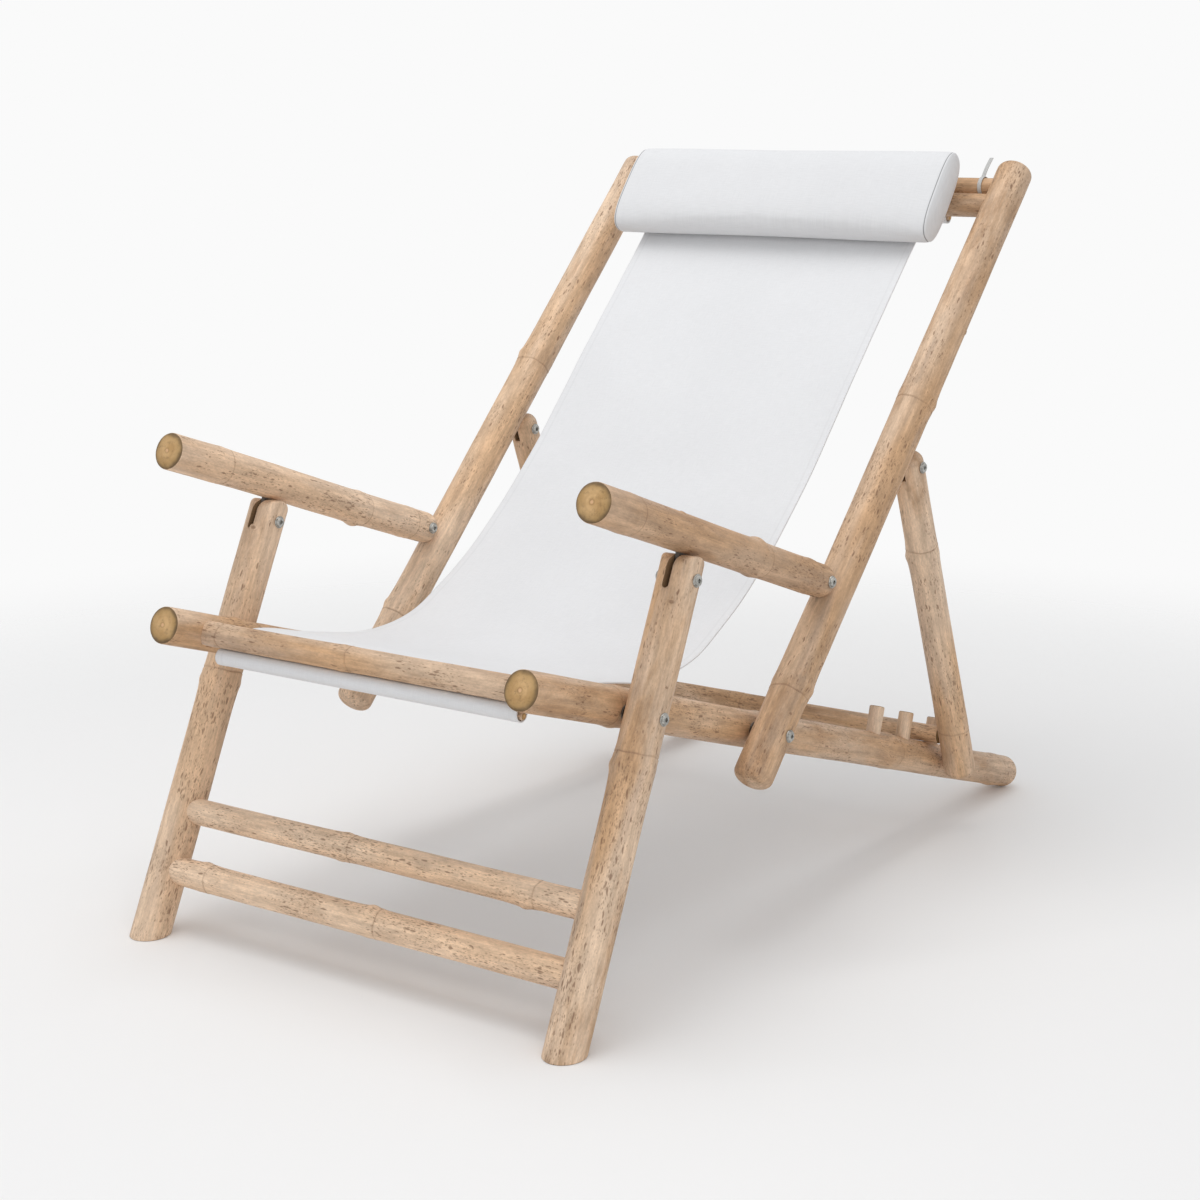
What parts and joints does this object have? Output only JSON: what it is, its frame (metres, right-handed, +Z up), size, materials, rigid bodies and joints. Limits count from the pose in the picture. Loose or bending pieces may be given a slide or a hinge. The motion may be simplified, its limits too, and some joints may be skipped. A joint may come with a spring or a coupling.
{
  "type": "folding recliner chair",
  "caption": "Folding recliner of bamboo culms: side rails, slotted front legs, leaning back poles, armrests, a notched prop frame, a canvas sling and a head pillow.",
  "frame": {"origin": "on the floor, at the middle of the chair's width and depth", "axes": "+Z up, -Y towards the front of the seat, +X to the sitter's left"},
  "size_m": [0.62, 1.1, 0.8399],
  "materials": {
    "bamboo": "light tan culms, fine dark dashes along the grain",
    "canvas": "white fine-weave canvas",
    "pillow": "white padded cotton",
    "tape": "light grey woven tape",
    "steel": "galvanised"
  },
  "bodies": {
    "rails": {"rail_left": "bamboo", "rail_right": "bamboo", "front_bar": "bamboo", "seat_rod": "bamboo", "seat_sling": "canvas", "prop_bar": "bamboo", "peg_left_1": "bamboo", "peg_left_2": "bamboo", "peg_left_3": "bamboo", "peg_right_1": "bamboo", "peg_right_2": "bamboo", "peg_right_3": "bamboo", "leg_bolts": "steel", "back_bolts": "steel", "washers": "steel"},
    "legs": {"leg_left": "bamboo", "leg_right": "bamboo", "rung_upper": "bamboo", "rung_lower": "bamboo", "slot_bolts": "steel"},
    "back": {"pole_left": "bamboo", "pole_right": "bamboo", "top_bar": "bamboo", "sling_bar": "bamboo", "back_rod": "bamboo", "back_sling": "canvas", "pillow": "pillow", "pillow_ties": "tape", "arm_tongue_left": "steel", "arm_tongue_right": "steel", "prop_tongue_left": "steel", "prop_tongue_right": "steel"},
    "arms": {"arm_left": "bamboo", "arm_right": "bamboo", "leg_tongue_left": "steel", "leg_tongue_right": "steel", "arm_bolts": "steel"},
    "props": {"prop_left": "bamboo", "prop_right": "bamboo", "prop_bolts": "steel"}
  },
  "joints": [
    {"name": "back_fold", "type": "hinge", "parent": "rails", "child": "back", "pos_m": [0, -0.14211, 0.23444], "axis": [1, 0, 0], "range_deg": [-50, 0]},
    {"name": "leg_fold", "type": "hinge", "parent": "rails", "child": "legs", "pos_m": [0, -0.38755, 0.30752], "axis": [1, 0, 0], "range_deg": [-62.04, 0]},
    {"name": "arm_fold", "type": "hinge", "parent": "back", "child": "arms", "pos_m": [0, -0.05078, 0.38903], "axis": [1, 0, 0], "range_deg": [0, 49.1]},
    {"name": "prop_fold", "type": "hinge", "parent": "back", "child": "props", "pos_m": [0, 0.16357, 0.48954], "axis": [1, 0, 0], "range_deg": [0, 107.55]}
  ],
  "couplings": [
    {"joint": "leg_fold", "follows": "back_fold", "ratio": 1.2399},
    {"joint": "arm_fold", "follows": "back_fold", "ratio": -0.9811},
    {"joint": "prop_fold", "follows": "back_fold", "ratio": -2.15}
  ]
}
